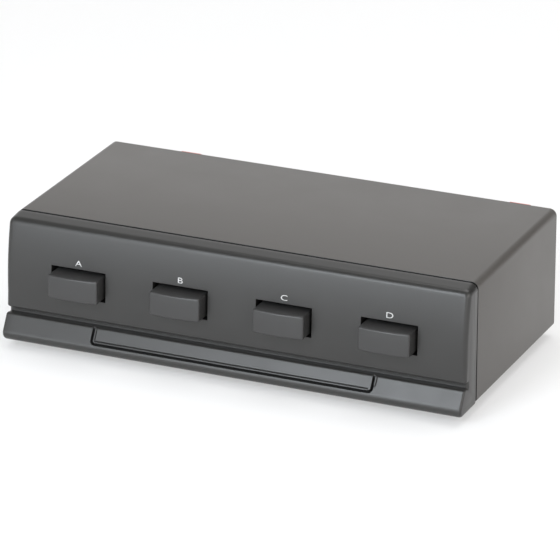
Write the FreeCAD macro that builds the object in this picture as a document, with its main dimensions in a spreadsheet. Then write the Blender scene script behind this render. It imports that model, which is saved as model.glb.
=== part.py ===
"""Four-way stereo speaker selector: a folded steel case with a moulded front, four
push-push buttons, a switch board and five blocks of sprung wire terminals at the rear.

Millimetres, +Z up, the front faces -Y. The origin is the middle of the footprint, on
the plane that the feet stand on. Most pieces are drawn in a working frame whose Y is
counted from the seam between the front panel and the cover, and are then placed by SEAM.
"""
import FreeCAD, Part
import math
import os
import re
import Sketcher

V = FreeCAD.Vector

# Driving dimensions: millimetres, and degrees where the name says so.
SIZES = {
    # case
    "width": 200.0,
    "height": 55.0,
    "cover_length": 86.5,
    "cover_lift": 3.9,
    "sheet": 1.0,
    "cover_bend": 3.0,
    "hem_bend": 2.0,
    "hem_width": 10.0,
    "tray_clearance": 0.2,
    "tray_gap": 0.5,
    "rear_recess": 1.0,
    "tray_bend": 1.8,
    "flange_top": 21.0,
    "side_lip": 8.0,
    "wall_top_clearance": 0.3,
    # front panel
    "seam_gap": 0.3,
    "face_reach": 12.1,
    "face_bow_radius": 123.0,
    "face_crown_level": 25.4,
    "lip_level": 16.6,
    "waist_reach": 6.0,
    "waist_level": 15.3,
    "heel_reach": 9.7,
    "ledge_level": 14.2,
    "chin_top_reach": 12.63,
    "chin_tilt_deg": 31.2,
    "chin_bottom_level": 3.5,
    "chin_bottom_round": 2.9,
    "chin_top_round": 1.2,
    "chin_side_round": 1.1,
    "rim_round": 2.0,
    "lip_round": 0.8,
    "panel_wall": 2.2,
    "groove_half_width": 59.7,
    "groove_width": 1.0,
    "groove_depth": 0.6,
    "groove_level": 8.8,
    "tab_width": 12.0,
    "tab_thickness": 2.0,
    "tab_level": 10.0,
    "tab_pitch": 52.0,
    "tab_barb": 0.8,
    "tab_clearance": 0.2,
    "lip_clearance": 0.3,
    "lip_wall": 1.5,
    "lip_length": 3.0,
    "lip_bottom": 23.0,
    # buttons
    "button_pitch": 45.0,
    "button_level": 31.5,
    "window_width": 24.2,
    "window_height": 12.4,
    "collar_wall": 1.2,
    "collar_end": 5.0,
    "cap_width": 21.8,
    "cap_height": 10.2,
    "cap_reach": 17.7,
    "cap_bow": 1.6,
    "cap_back": 6.0,
    "cap_wall": 1.4,
    "cap_round": 0.6,
    "cap_boss_width": 7.0,
    "cap_boss_height": 6.2,
    "press_travel": 4.0,
    # switches
    "switch_width": 18.0,
    "switch_height": 13.0,
    "switch_front": 4.0,
    "switch_length": 24.0,
    "channel_spare": 2.0,
    "nose_wall": 1.5,
    "nose_length": 1.5,
    "switch_step": 4.0,
    "switch_step_start": 15.0,
    "plunger_width": 5.0,
    "plunger_height": 4.0,
    "plunger_end": 14.0,
    "slide_clearance": 0.1,
    "tenon_width": 3.6,
    "tenon_height": 3.0,
    "tenon_length": 6.0,
    # boards
    "board_thickness": 1.6,
    "lead_clearance": 0.15,
    "lead_stub": 1.9,
    "board_margin": 12.0,
    "board_front": 7.0,
    "board_rear": 62.0,
    "post_side": 6.0,
    "peg_side": 3.0,
    "peg_rise": 1.5,
    "peg_clearance": 0.1,
    "post_margin": 18.0,
    "post_front": 12.5,
    "post_rear": 56.0,
    "resistor_length": 22.0,
    "resistor_side": 9.0,
    "resistor_place": 27.0,
    "resistor_row": 46.0,
    "resistor_leg": 0.8,
    "resistor_leg_inset": 3.0,
    "terminal_margin": 8.0,
    "terminal_board_bottom": 14.0,
    "terminal_board_drop": 5.0,
    "wire_side": 1.6,
    "wire_bend": 3.0,
    "wire_level": 34.5,
    "wire_row": 58.0,
    # rear terminals
    "block_count": 5,
    "row_pitch": 19.0,
    "upper_row_drop": 11.0,
    "block_flange": 2.0,
    "block_gap": 0.4,
    "block_over": 8.1,
    "block_under": 9.2,
    "tower_width": 13.8,
    "tower_over": 7.3,
    "tower_under": 8.4,
    "tower_depth": 12.0,
    "tower_clearance": 0.2,
    "snap_rise": 0.6,
    "snap_length": 3.0,
    "snap_height": 10.0,
    "snap_gap": 0.05,
    "collar_side": 7.0,
    "collar_height": 1.2,
    "wire_bore": 2.2,
    "wire_drop": 4.5,
    "pocket_floor": 1.3,
    "pocket_roof": 6.5,
    "slot_front": 8.6,
    "slot_under": 7.5,
    "contact_width": 5.0,
    "contact_thickness": 0.6,
    "contact_gap": 0.4,
    "contact_tail": 4.0,
    "lever_width": 9.2,
    "lever_thickness": 2.1,
    "lever_rise": 6.0,
    "lever_side_gap": 0.3,
    "pivot_depth": 4.0,
    "pivot_rise": 3.0,
    "pivot_radius": 1.2,
    "pivot_clearance": 0.05,
    "pivot_length": 1.2,
    "lever_reach": 4.5,
    "lever_play_deg": 4.0,
    # fasteners and feet
    "screw_shank": 1.45,
    "screw_clearance": 0.05,
    "screw_head": 2.7,
    "screw_head_height": 2.0,
    "cover_screw_length": 5.0,
    "cover_screw_row": 52.0,
    "foot_radius": 6.5,
    "foot_margin": 22.0,
    "foot_front": 14.0,
    "foot_rear": 72.0,
}

# Sizes that follow from the driving ones.
TIED = {
    "board_half_width": "width / 2 - board_margin",
    "post_half_span": "width / 2 - post_margin",
    "foot_half_span": "width / 2 - foot_margin",
    "terminal_board_half_width": "width / 2 - terminal_margin",
    "terminal_board_top": "height - terminal_board_drop",
    "column_pitch": "(width / 2 - terminal_margin) / block_count",
    "upper_row_level": "height - upper_row_drop",
}

BUTTONS = ("a", "b", "c", "d")
BLOCKS = ("input", "a", "b", "c", "d")
# A few levers stand a little higher in their play than the others: (block, side, row).
HIGH_LEVERS = (("input", "left", "red"), ("d", "left", "red"))

# Places that several pieces share, in terms of the driving dimensions.
CROWN = "(cap_reach + cap_bow)"
SEAM = f"(({CROWN} - cover_length - lever_reach) / 2)"
FLOOR = "(cover_lift + sheet)"
FLOOR_TOP = "(cover_lift + 2 * sheet)"
REAR_WALL = "(cover_length - rear_recess)"
BLOCK_FACE = f"({REAR_WALL} + block_flange)"
TRAY_WIDTH = "(width - 2 * hem_bend - tray_clearance)"
BOARD_TOP = "(button_level - switch_height / 2)"
LOWER_ROW = "(upper_row_level - row_pitch)"
ROW_LEVEL = {"red": "upper_row_level", "black": LOWER_ROW}
TOWER_END = f"({REAR_WALL} - tower_depth)"
LIP_HALF = "(width / 2 - sheet - lip_clearance)"
LIP_TOP = "(height - sheet - lip_clearance)"
CHIN_SLOPE = "tan(chin_tilt_deg * 1 deg)"

doc = FreeCAD.newDocument("speaker_selector")
sheet = doc.addObject("Spreadsheet::Sheet", "dims")
NAMED = {**{name: str(value) for name, value in SIZES.items()},
         **{name: f"={text}" for name, text in TIED.items()}}
for row, (name, content) in enumerate(NAMED.items(), 1):
    sheet.set(f"A{row}", name)
    sheet.set(f"B{row}", content)
    sheet.setAlias(f"B{row}", name)
doc.recompute()

SUBPARTS = []
WORD = re.compile(r"[a-z_][a-z_0-9]*")


# ---------------------------------------------------------------- helpers

def bound(text):
    """The expression with each size name pointed at its cell of the sheet."""
    return WORD.sub(lambda m: "dims." + m.group() if m.group() in NAMED else m.group(), str(text))


def size(text):
    """The value of an expression of size names."""
    return float(sheet.evalExpression(bound(text)))


def bind(thing, prop, text):
    thing.setExpression(prop, bound(text))


def new_body(label, x="0", y=SEAM, z="0"):
    """A body for one sub-part, placed by expressions."""
    body = doc.addObject("PartDesign::Body", label)
    body.Label = label
    body.AllowCompound = True
    for axis, text in (("x", x), ("y", y), ("z", z)):
        bind(body, f"Placement.Base.{axis}", text)
    SUBPARTS.append(body)
    return body


def new_sketch(body, role, lift="0"):
    """A sketch on one of the body's origin planes, lifted along that plane's normal.

    XY_Plane: x, y are X, Y, normal +Z. XZ_Plane: X, Z, normal -Y. YZ_Plane: Y, Z, normal +X.
    """
    sketch = body.newObject("Sketcher::SketchObject", "outline")
    plane = next(f for f in body.Origin.OriginFeatures if f.Role == role)
    sketch.AttachmentSupport = [(plane, "")]
    sketch.MapMode = "FlatFace"
    bind(sketch, "AttachmentOffset.Base.z", lift)
    return sketch


def fix_point(sketch, geo, end, x, y):
    """Hold a point of the sketch at x, y."""
    for kind, text in (("DistanceX", x), ("DistanceY", y)):
        index = sketch.addConstraint(Sketcher.Constraint(kind, -1, 1, geo, end, size(text)))
        bind(sketch, f"Constraints[{index}]", text)


def loop(sketch, corners, bow=None):
    """A closed outline through corners given anticlockwise as pairs of expressions.

    bow, where given, is the radius of an outward arc that takes the place of the first side.
    """
    spots = [V(size(x), size(y), 0) for x, y in corners]
    sides = [Part.LineSegment(a, b) for a, b in zip(spots, spots[1:] + spots[:1])]
    if bow:
        sides[0] = outward_arc(spots[0], spots[1], size(bow))
    geos = [sketch.addGeometry(side, False) for side in sides]
    for geo, following, corner in zip(geos, geos[1:] + geos[:1], corners):
        sketch.addConstraint(Sketcher.Constraint("Coincident", geo, 2, following, 1))
        fix_point(sketch, geo, 1, *corner)
    if bow:
        hold_radius(sketch, geos[0], bow)


def outward_arc(start, end, radius):
    """The shallow arc from start to end that bulges to the right of that run."""
    chord = end - start
    rise = radius - math.sqrt(radius ** 2 - (chord.Length / 2) ** 2)
    outward = V(chord.y, -chord.x, 0).normalize()
    return Part.Arc(start, (start + end) / 2 + outward * rise, end)


def hold_radius(sketch, geo, radius):
    index = sketch.addConstraint(Sketcher.Constraint("Radius", geo, size(radius)))
    bind(sketch, f"Constraints[{index}]", radius)


def rectangle(sketch, x0, y0, x1, y1):
    """A rectangle from its low corner to its high one."""
    loop(sketch, [(x0, y0), (x1, y0), (x1, y1), (x0, y1)])


def centred(sketch, x, y, wide, high):
    """A rectangle about the point x, y."""
    rectangle(sketch, f"{x} - {wide} / 2", f"{y} - {high} / 2",
              f"{x} + {wide} / 2", f"{y} + {high} / 2")


def circle(sketch, x, y, radius):
    spot = V(size(x), size(y), 0)
    geo = sketch.addGeometry(Part.Circle(spot, V(0, 0, 1), size(radius)), False)
    fix_point(sketch, geo, 3, x, y)
    hold_radius(sketch, geo, radius)


def pad(body, sketch, length, both=False, back=False):
    """Add the sketch's area along its normal, or both ways, or backwards."""
    feature = body.newObject("PartDesign::Pad", "pad")
    feature.Profile = sketch
    bind(feature, "Length", length)
    feature.Midplane = both
    feature.Reversed = back
    doc.recompute()
    return feature


def pocket(body, sketch, length, both=False, back=False):
    """Cut the sketch's area against its normal, and make sure that something was cut."""
    before = body.Shape.Volume
    feature = body.newObject("PartDesign::Pocket", "pocket")
    feature.Profile = sketch
    bind(feature, "Length", length)
    feature.Midplane = both
    feature.Reversed = back
    doc.recompute()
    if body.Shape.Volume >= before - 1e-6:
        raise RuntimeError(f"a pocket of {body.Label} cuts nothing")
    return feature


def fillet(body, radius, *places):
    """Round the straight edges of the body that keep to any of the given places."""
    tip = body.Tip
    names = [f"Edge{i}" for i, edge in enumerate(tip.Shape.Edges, 1)
             if any(keeps_to(edge.BoundBox, place) for place in places)]
    if not names:
        raise RuntimeError(f"no edge of {body.Label} to round")
    feature = body.newObject("PartDesign::Fillet", "fillet")
    feature.Base = (tip, names)
    bind(feature, "Radius", radius)
    doc.recompute()


def keeps_to(box, place):
    """Whether an edge's box stays at the place, such as {"x": .., "z": ..}; x is either side."""
    ends = {"x": (abs(box.Center.x), abs(box.XMax)), "y": (box.YMin, box.YMax),
            "z": (box.ZMin, box.ZMax)}
    return all(abs(end - size(text)) < 0.02 for axis, text in place.items() for end in ends[axis])


def row_pattern(body, feature, role, length, count):
    """Repeat a feature along one axis of the body."""
    pattern = body.newObject("PartDesign::LinearPattern", "row")
    pattern.Originals = [feature]
    axis = next(f for f in body.Origin.OriginFeatures if f.Role == role)
    pattern.Direction = (axis, [""])
    bind(pattern, "Length", length)
    bind(pattern, "Occurrences", count)
    body.Tip = pattern
    doc.recompute()
    return pattern


# ---------------------------------------------------------------- case

def cover_screw_spots():
    edge = "(width / 2 - sheet - hem_width / 2)"
    return [(f"{side}{edge}", "cover_screw_row") for side in ("-", "+")]


def top_cover():
    """Folded sheet: top, two sides and a hem turned in under each side."""
    body = new_body("top_cover")
    half, low, high = "width / 2", "cover_lift", "height"
    hem = f"({half} - hem_width)"
    profile = new_sketch(body, "XZ_Plane")
    loop(profile, [
        (f"-{hem}", low), (f"-{hem}", FLOOR), (f"-({half} - sheet)", FLOOR),
        (f"-({half} - sheet)", f"{high} - sheet"), (f"{half} - sheet", f"{high} - sheet"),
        (f"{half} - sheet", FLOOR), (hem, FLOOR), (hem, low), (half, low), (half, high),
        (f"-{half}", high), (f"-{half}", low)])
    pad(body, profile, "cover_length", back=True)

    inside = f"({half} - sheet)"
    fillet(body, "cover_bend", {"x": half, "z": high})
    fillet(body, "cover_bend - sheet", {"x": inside, "z": f"{high} - sheet"})
    fillet(body, "hem_bend", {"x": half, "z": low})
    fillet(body, "hem_bend - sheet", {"x": inside, "z": FLOOR})
    holes = new_sketch(body, "XY_Plane", FLOOR)
    for x, y in cover_screw_spots():
        circle(holes, x, y, "screw_shank + screw_clearance")
    pocket(body, holes, "2 * sheet")


def chassis_tray():
    """Folded tray: floor, front flange, rear wall with terminal windows, side lips."""
    body = new_body("chassis_tray")
    front, rear = "tray_gap", REAR_WALL
    wall_top = "(height - sheet - wall_top_clearance)"
    profile = new_sketch(body, "YZ_Plane")
    loop(profile, [
        (front, FLOOR), (rear, FLOOR), (rear, wall_top), (f"{rear} - sheet", wall_top),
        (f"{rear} - sheet", FLOOR_TOP), (f"{front} + sheet", FLOOR_TOP),
        (f"{front} + sheet", "flange_top"), (front, "flange_top")])
    pad(body, profile, TRAY_WIDTH, both=True)

    fillet(body, "tray_bend", {"y": front, "z": FLOOR}, {"y": rear, "z": FLOOR})
    fillet(body, "tray_bend - sheet", {"y": f"{front} + sheet", "z": FLOOR_TOP},
           {"y": f"{rear} - sheet", "z": FLOOR_TOP})

    lips = new_sketch(body, "XY_Plane", FLOOR_TOP)
    relief = "2 * tray_bend + sheet"
    rectangle(lips, f"-{TRAY_WIDTH} / 2", f"{front} + {relief}",
              f"-({TRAY_WIDTH} / 2 - sheet)", f"{rear} - ({relief})")
    rectangle(lips, f"{TRAY_WIDTH} / 2 - sheet", f"{front} + {relief}",
              f"{TRAY_WIDTH} / 2", f"{rear} - ({relief})")
    pad(body, lips, "side_lip")

    windows = new_sketch(body, "XZ_Plane", f"-({rear} - sheet)")
    half = "(tower_width / 2 + tower_clearance)"
    for _, _, x in column_places():
        rectangle(windows, f"{x} - {half}", f"{LOWER_ROW} - tower_under - tower_clearance",
                  f"{x} + {half}", "upper_row_level + tower_over + tower_clearance")
    pocket(body, windows, "2 * sheet")
    slots = new_sketch(body, "XZ_Plane", f"-{front}")
    for x in tab_places():
        centred(slots, x, "tab_level", "(tab_width + 2 * tab_clearance)",
                "(tab_thickness + 2 * tab_clearance)")
    pocket(body, slots, "2 * sheet")
    holes = new_sketch(body, "XY_Plane", FLOOR_TOP)
    for x, y in cover_screw_spots():
        circle(holes, x, y, "screw_shank + screw_clearance")
    pocket(body, holes, "2 * sheet")


def rubber_feet():
    """Four round feet stuck under the tray floor."""
    body = new_body("rubber_feet")
    top = new_sketch(body, "XY_Plane", FLOOR)
    for side in ("-", "+"):
        for y in ("foot_front", "foot_rear"):
            circle(top, f"{side}foot_half_span", y, "foot_radius")
    pad(body, top, FLOOR, back=True)


def cover_screws():
    """Two screws, up through the hems into the tray."""
    body = new_body("cover_screws")
    for radius, length, upward in (("screw_head", "screw_head_height", False),
                                   ("screw_shank", "cover_screw_length", True)):
        rounds = new_sketch(body, "XY_Plane", "cover_lift")
        for x, y in cover_screw_spots():
            circle(rounds, x, y, radius)
        pad(body, rounds, length, back=not upward)


# ---------------------------------------------------------------- front panel

def bow_point(reach, bow, level):
    """The point of the bowed face at a level, as expressions for depth and level."""
    depth = f"({bow}) - ({reach}) - sqrt(({bow}) ^ 2 - (({level}) - face_crown_level) ^ 2)"
    return f"({depth})", level


def chin_point(level, inset="0"):
    """The point of the sloping chin at a level, moved inwards square to the slope."""
    depth = f"chin_top_reach + (ledge_level - ({level})) * {CHIN_SLOPE}"
    return f"-({depth} - ({inset}) / cos(chin_tilt_deg * 1 deg))", level


def tab_places():
    return [f"(({i} - 1.5) * tab_pitch)" for i in range(4)]


def front_panel():
    """Moulded front: bowed face, waist groove, sloping chin, four collared windows."""
    body = new_body("front_panel")
    panel_shell(body)
    panel_hollow(body)
    panel_windows(body)
    chin_groove(body)
    panel_lip(body)
    panel_tabs(body)


def panel_shell(body):
    """The outside of the moulding, with every edge rounded."""
    rim = bow_point("face_reach", "face_bow_radius", "height")
    lip = bow_point("face_reach", "face_bow_radius", "lip_level")
    brow, foot = chin_point("ledge_level"), chin_point("chin_bottom_level")
    outline = new_sketch(body, "YZ_Plane")
    loop(outline, [rim, lip, ("-waist_reach", "waist_level"), ("-waist_reach", "ledge_level"), brow,
                   foot, ("-seam_gap", "chin_bottom_level"), ("-seam_gap", "height")],
         bow="face_bow_radius")
    pad(body, outline, "width", both=True)
    side = "width / 2"
    fillet(body, "chin_bottom_round", {"y": foot[0], "z": foot[1]})
    fillet(body, "chin_top_round", {"y": brow[0], "z": brow[1]})
    fillet(body, "cover_bend", {"x": side, "z": "height"})
    fillet(body, "chin_side_round", {"x": side, "z": "chin_bottom_level"})
    fillet(body, "rim_round", {"y": rim[0], "z": "height"})
    fillet(body, "lip_round", {"y": lip[0], "z": "lip_level"})
    heel = new_sketch(body, "YZ_Plane")
    loop(heel, [("-waist_reach", "waist_level"), ("-heel_reach", "ledge_level"),
                ("-waist_reach", "ledge_level")])
    pad(body, heel, "width - 2 * chin_side_round", both=True)


def panel_hollow(body):
    """The inside, an even wall behind the outside, open at the back."""
    wall = "panel_wall"
    shelf, foot = f"(ledge_level - {wall})", f"(chin_bottom_level + {wall})"
    reach, bow = f"(face_reach - {wall})", f"(face_bow_radius - {wall})"
    outline = new_sketch(body, "YZ_Plane")
    loop(outline, [
        bow_point(reach, bow, f"height - {wall}"), bow_point(reach, bow, f"lip_level + {wall}"),
        (f"-(waist_reach - {wall})", f"(waist_level + {wall})"),
        (f"-(waist_reach - {wall})", shelf),
        chin_point(shelf, wall), chin_point(f"{foot} + chin_bottom_round / 2", wall),
        (f"-(chin_top_reach - chin_bottom_round / 2)", foot), ("panel_wall", foot),
        ("panel_wall", f"height - {wall}")], bow=bow)
    pocket(body, outline, f"width - 2 * {wall}", both=True)


def panel_windows(body):
    """Four windows, each with a collar behind it that guides the button."""
    collars = new_sketch(body, "XZ_Plane", "collar_end")
    windows = new_sketch(body, "XZ_Plane", "face_reach + panel_wall")
    for index in range(len(BUTTONS)):
        x = button_middle(index)
        centred(collars, x, "button_level", "(window_width + 2 * collar_wall)",
                "(window_height + 2 * collar_wall)")
        centred(windows, x, "button_level", "window_width", "window_height")
    pad(body, collars, "face_reach - collar_end - panel_wall / 2")
    pocket(body, windows, "face_reach + panel_wall")


def chin_groove(body):
    """A U-shaped groove cut square to the chin's slope, open at the top."""
    groove = new_sketch(body, "XZ_Plane", "chin_top_reach")
    groove.AttachmentOffset = FreeCAD.Placement(
        V(0, 0, 0), FreeCAD.Rotation(V(1, 0, 0), -size("chin_tilt_deg")))
    bind(groove, "AttachmentOffset.Base.z", "chin_top_reach")
    bind(groove, "AttachmentOffset.Base.y", "ledge_level")
    bind(groove, "AttachmentOffset.Rotation.Angle", "-chin_tilt_deg * 1 deg")
    fall = "(ledge_level - groove_level) / cos(chin_tilt_deg * 1 deg)"
    outer, inner = "(groove_half_width + groove_width)", "groove_half_width"
    top = "chin_top_round"
    loop(groove, [
        (f"-{outer}", top), (f"-{outer}", f"-({fall} + groove_width)"),
        (outer, f"-({fall} + groove_width)"), (outer, top), (inner, top), (inner, f"-({fall})"),
        (f"-{inner}", f"-({fall})"), (f"-{inner}", top)])
    pocket(body, groove, "groove_depth")


def panel_lip(body):
    """A lip that slips inside the cover, along the top and down both sides."""
    start = "panel_wall"
    lip = new_sketch(body, "XZ_Plane", start)
    inner, low = f"({LIP_HALF} - lip_wall)", "lip_bottom"
    loop(lip, [
        (f"-{LIP_HALF}", low), (f"-{inner}", low), (f"-{inner}", f"{LIP_TOP} - lip_wall"),
        (inner, f"{LIP_TOP} - lip_wall"), (inner, low), (LIP_HALF, low), (LIP_HALF, LIP_TOP),
        (f"-{LIP_HALF}", LIP_TOP)])
    pad(body, lip, f"lip_length + {start}", back=True)
    fillet(body, "cover_bend - sheet", {"x": LIP_HALF, "z": LIP_TOP})


def panel_tabs(body):
    """Four barbed tabs that run from the chin through the tray's front flange."""
    root, level = chin_point("tab_level", "panel_wall / 2")
    low, high = f"{level} - tab_thickness / 2", f"({level} + tab_thickness / 2)"
    catch = "(tray_gap + sheet + snap_gap)"
    tab = new_sketch(body, "YZ_Plane", tab_places()[0])
    loop(tab, [(root, low), (f"{catch} + 2 * tab_barb", low), (f"{catch} + 2 * tab_barb", high),
               (catch, f"{high} + tab_barb"), (catch, high), (root, high)])
    first = pad(body, tab, "tab_width", both=True)
    row_pattern(body, first, "X_Axis", "3 * tab_pitch", "4")


# ---------------------------------------------------------------- buttons and switches

def button_middle(index):
    return f"(({index} - 1.5) * button_pitch)"


def button_cap(letter, index):
    """Hollow cap with a bowed front and a socket for the plunger's tenon."""
    body = new_body(f"button_cap_{letter}", x=button_middle(index), z="button_level")
    half = "(cap_width / 2)"
    plan = new_sketch(body, "XY_Plane")
    loop(plan, [(f"-{half}", "-cap_reach"), (half, "-cap_reach"), (half, "-cap_back"),
                (f"-{half}", "-cap_back")], bow=f"({half} ^ 2 + cap_bow ^ 2) / (2 * cap_bow)")
    pad(body, plan, "cap_height", both=True)
    fillet(body, "cap_round", {"x": half, "y": "-cap_reach"})
    hollow = new_sketch(body, "XZ_Plane", "cap_back")
    centred(hollow, "0", "0", "(cap_width - 2 * cap_wall)", "(cap_height - 2 * cap_wall)")
    pocket(body, hollow, "cap_reach - cap_back - cap_wall", back=True)
    boss = new_sketch(body, "XZ_Plane", "cap_back")
    centred(boss, "0", "0", "cap_boss_width", "cap_boss_height")
    pad(body, boss, "cap_reach - cap_back - cap_wall / 2")
    socket = new_sketch(body, "XZ_Plane", "cap_back")
    centred(socket, "0", "0", "(tenon_width + 2 * slide_clearance)",
            "(tenon_height + 2 * slide_clearance)")
    pocket(body, socket, "tenon_length + slide_clearance", back=True)


def plunger(letter, index):
    """Stepped slide bar: a tenon for the cap, then the shaft that runs in the switch."""
    body = new_body(f"plunger_{letter}", x=button_middle(index), z="button_level")
    shaft = new_sketch(body, "XZ_Plane", "cap_back")
    centred(shaft, "0", "0", "plunger_width", "plunger_height")
    pad(body, shaft, "cap_back + plunger_end", back=True)
    tenon = new_sketch(body, "XZ_Plane", "cap_back")
    centred(tenon, "0", "0", "tenon_width", "tenon_height")
    pad(body, tenon, "tenon_length")


def switch_body(letter, index):
    """Push-push switch housing: a nose, and the channel that its plunger runs in."""
    body = new_body(f"switch_body_{letter}", x=button_middle(index), z="button_level")
    block = new_sketch(body, "XZ_Plane", "-switch_front")
    centred(block, "0", "0", "switch_width", "switch_height")
    pad(body, block, "switch_length", back=True)
    nose = new_sketch(body, "XZ_Plane", "-switch_front")
    centred(nose, "0", "0", "(plunger_width + 2 * nose_wall)", "(plunger_height + 2 * nose_wall)")
    pad(body, nose, "nose_length")
    channel = new_sketch(body, "XZ_Plane", "-(switch_front - nose_length)")
    centred(channel, "0", "0", "(plunger_width + 2 * slide_clearance)",
            "(plunger_height + 2 * slide_clearance)")
    pocket(body, channel, "plunger_end + press_travel + channel_spare - switch_front + nose_length")
    step = new_sketch(body, "YZ_Plane")
    rectangle(step, "switch_front + switch_step_start", "switch_height / 2 - switch_step",
              "switch_front + switch_length", "switch_height / 2")
    pocket(body, step, "switch_width", both=True)


# ---------------------------------------------------------------- boards and wires

def post_spots():
    return [(f"{side}post_half_span", row) for side in ("-", "+")
            for row in ("post_front", "post_rear")]


def leg_spots():
    """The resistor legs: one near each end of each resistor."""
    return [(f"{side}resistor_place {end} (resistor_length / 2 - resistor_leg_inset)", "resistor_row")
            for side in ("-", "+") for end in ("-", "+")]


def switch_board():
    """Board that carries the four switches and the resistors."""
    body = new_body("switch_board", z=BOARD_TOP)
    plate = new_sketch(body, "XY_Plane")
    rectangle(plate, "-board_half_width", "board_front", "board_half_width", "board_rear")
    pad(body, plate, "board_thickness", back=True)
    holes = new_sketch(body, "XY_Plane")
    for x, y in post_spots():
        centred(holes, x, y, "(peg_side + 2 * peg_clearance)", "(peg_side + 2 * peg_clearance)")
    for x, y in leg_spots():
        centred(holes, x, y, "(resistor_leg + 2 * lead_clearance)",
                "(resistor_leg + 2 * lead_clearance)")
    pocket(body, holes, "board_thickness")


def board_posts():
    """Four moulded supports from the tray floor to the board, each with a peg through it."""
    body = new_body("board_posts")
    posts = new_sketch(body, "XY_Plane", FLOOR_TOP)
    pegs = new_sketch(body, "XY_Plane", FLOOR_TOP)
    for x, y in post_spots():
        centred(posts, x, y, "post_side", "post_side")
        centred(pegs, x, y, "peg_side", "peg_side")
    pad(body, posts, f"{BOARD_TOP} - board_thickness - {FLOOR_TOP}")
    pad(body, pegs, f"{BOARD_TOP} + peg_rise - {FLOOR_TOP}")


def protection_resistors():
    """Two cement-cased resistors on the board, their legs through it."""
    body = new_body("protection_resistors", z=BOARD_TOP)
    cases = new_sketch(body, "XY_Plane")
    for side in ("-", "+"):
        centred(cases, f"{side}resistor_place", "resistor_row", "resistor_length", "resistor_side")
    pad(body, cases, "resistor_side")
    legs = new_sketch(body, "XY_Plane")
    for x, y in leg_spots():
        centred(legs, x, y, "resistor_leg", "resistor_leg")
    pad(body, legs, "board_thickness + lead_stub", back=True)


def terminal_board():
    """Upright board against the terminal towers; the contact tails pass through it."""
    body = new_body("terminal_board")
    plate = new_sketch(body, "XZ_Plane", f"-{TOWER_END}")
    rectangle(plate, "-terminal_board_half_width", "terminal_board_bottom",
              "terminal_board_half_width", "terminal_board_top")
    pad(body, plate, "board_thickness")
    slots = new_sketch(body, "XZ_Plane", f"-({TOWER_END} - board_thickness)")
    for _, _, x in column_places():
        for level in ROW_LEVEL.values():
            middle = f"({level} - slot_under + contact_gap + contact_thickness / 2)"
            centred(slots, x, middle, "(contact_width + 2 * lead_clearance)",
                    "(contact_thickness + 2 * lead_clearance)")
    pocket(body, slots, "board_thickness")


def link_wires():
    """Ten square wires, each set over twice, from the upright board down to the switch board."""
    body = new_body("link_wires", x=column_places()[0][2])
    side, bend = "wire_side", "wire_bend"
    start = f"({TOWER_END} - board_thickness)"
    inner_bend = f"({bend} - 0.6 * {side})"
    run = new_sketch(body, "YZ_Plane")
    loop(run, [
        ("wire_row", BOARD_TOP), (f"wire_row + {side}", BOARD_TOP),
        (f"wire_row + {side}", f"wire_level - {side} - {inner_bend}"),
        (f"wire_row + {side} + {inner_bend}", f"wire_level - {side}"),
        (start, f"wire_level - {side}"), (start, "wire_level"),
        (f"wire_row + {bend}", "wire_level"), ("wire_row", f"wire_level - {bend}")])
    first = pad(body, run, side, both=True)
    row_pattern(body, first, "X_Axis", "(2 * block_count - 1) * column_pitch", "2 * block_count")


# ---------------------------------------------------------------- rear terminals

def block_middle(index):
    return f"(({index} - (block_count - 1) / 2) * 2 * column_pitch)"


def column_places():
    """The terminal columns from -X to +X as (block, side seen from behind, x)."""
    return [(block, side, f"({block_middle(index)} {sign} column_pitch / 2)")
            for index, block in enumerate(BLOCKS) for side, sign in (("right", "-"), ("left", "+"))]


def cell_spots():
    """The four clips of a block about the block's middle: (x, row level)."""
    return [(f"({sign} column_pitch / 2)", level) for sign in ("-", "+")
            for level in ROW_LEVEL.values()]


def terminal_block(name, index):
    """Moulded housing of four sprung clips: flange, two towers, wire collars and pockets."""
    body = new_body(f"terminal_block_{name}", x=block_middle(index), y=f"{SEAM} + {BLOCK_FACE}")
    flange = new_sketch(body, "XZ_Plane")
    half = "(column_pitch - block_gap / 2)"
    rectangle(flange, f"-{half}", f"{LOWER_ROW} - block_under", half, "upper_row_level + block_over")
    pad(body, flange, "block_flange")
    towers = new_sketch(body, "XZ_Plane")
    for sign in ("-", "+"):
        rectangle(towers, f"{sign} column_pitch / 2 - tower_width / 2", f"{LOWER_ROW} - tower_under",
                  f"{sign} column_pitch / 2 + tower_width / 2", "upper_row_level + tower_over")
    pad(body, towers, "block_flange + tower_depth")
    collars = new_sketch(body, "XZ_Plane")
    for x, level in cell_spots():
        centred(collars, x, f"({level} - wire_drop)", "collar_side", "collar_side")
    pad(body, collars, "collar_height", back=True)
    block_snaps(body)
    block_pockets(body)


def block_snaps(body):
    """Wedges on the towers' sides that catch behind the tray's rear wall."""
    catch = "(block_flange + sheet + snap_gap)"
    wedges = new_sketch(body, "XY_Plane", f"({LOWER_ROW} + upper_row_level) / 2")
    for column in ("-", "+"):
        left = f"({column} column_pitch / 2 - tower_width / 2)"
        right = f"({column} column_pitch / 2 + tower_width / 2)"
        loop(wedges, [(left, f"-{catch}"), (f"{left} - snap_rise", f"-{catch}"),
                      (left, f"-({catch} + snap_length)")])
        loop(wedges, [(right, f"-({catch} + snap_length)"), (f"{right} + snap_rise", f"-{catch}"),
                      (right, f"-{catch}")])
    pad(body, wedges, "snap_height", both=True)


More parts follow.
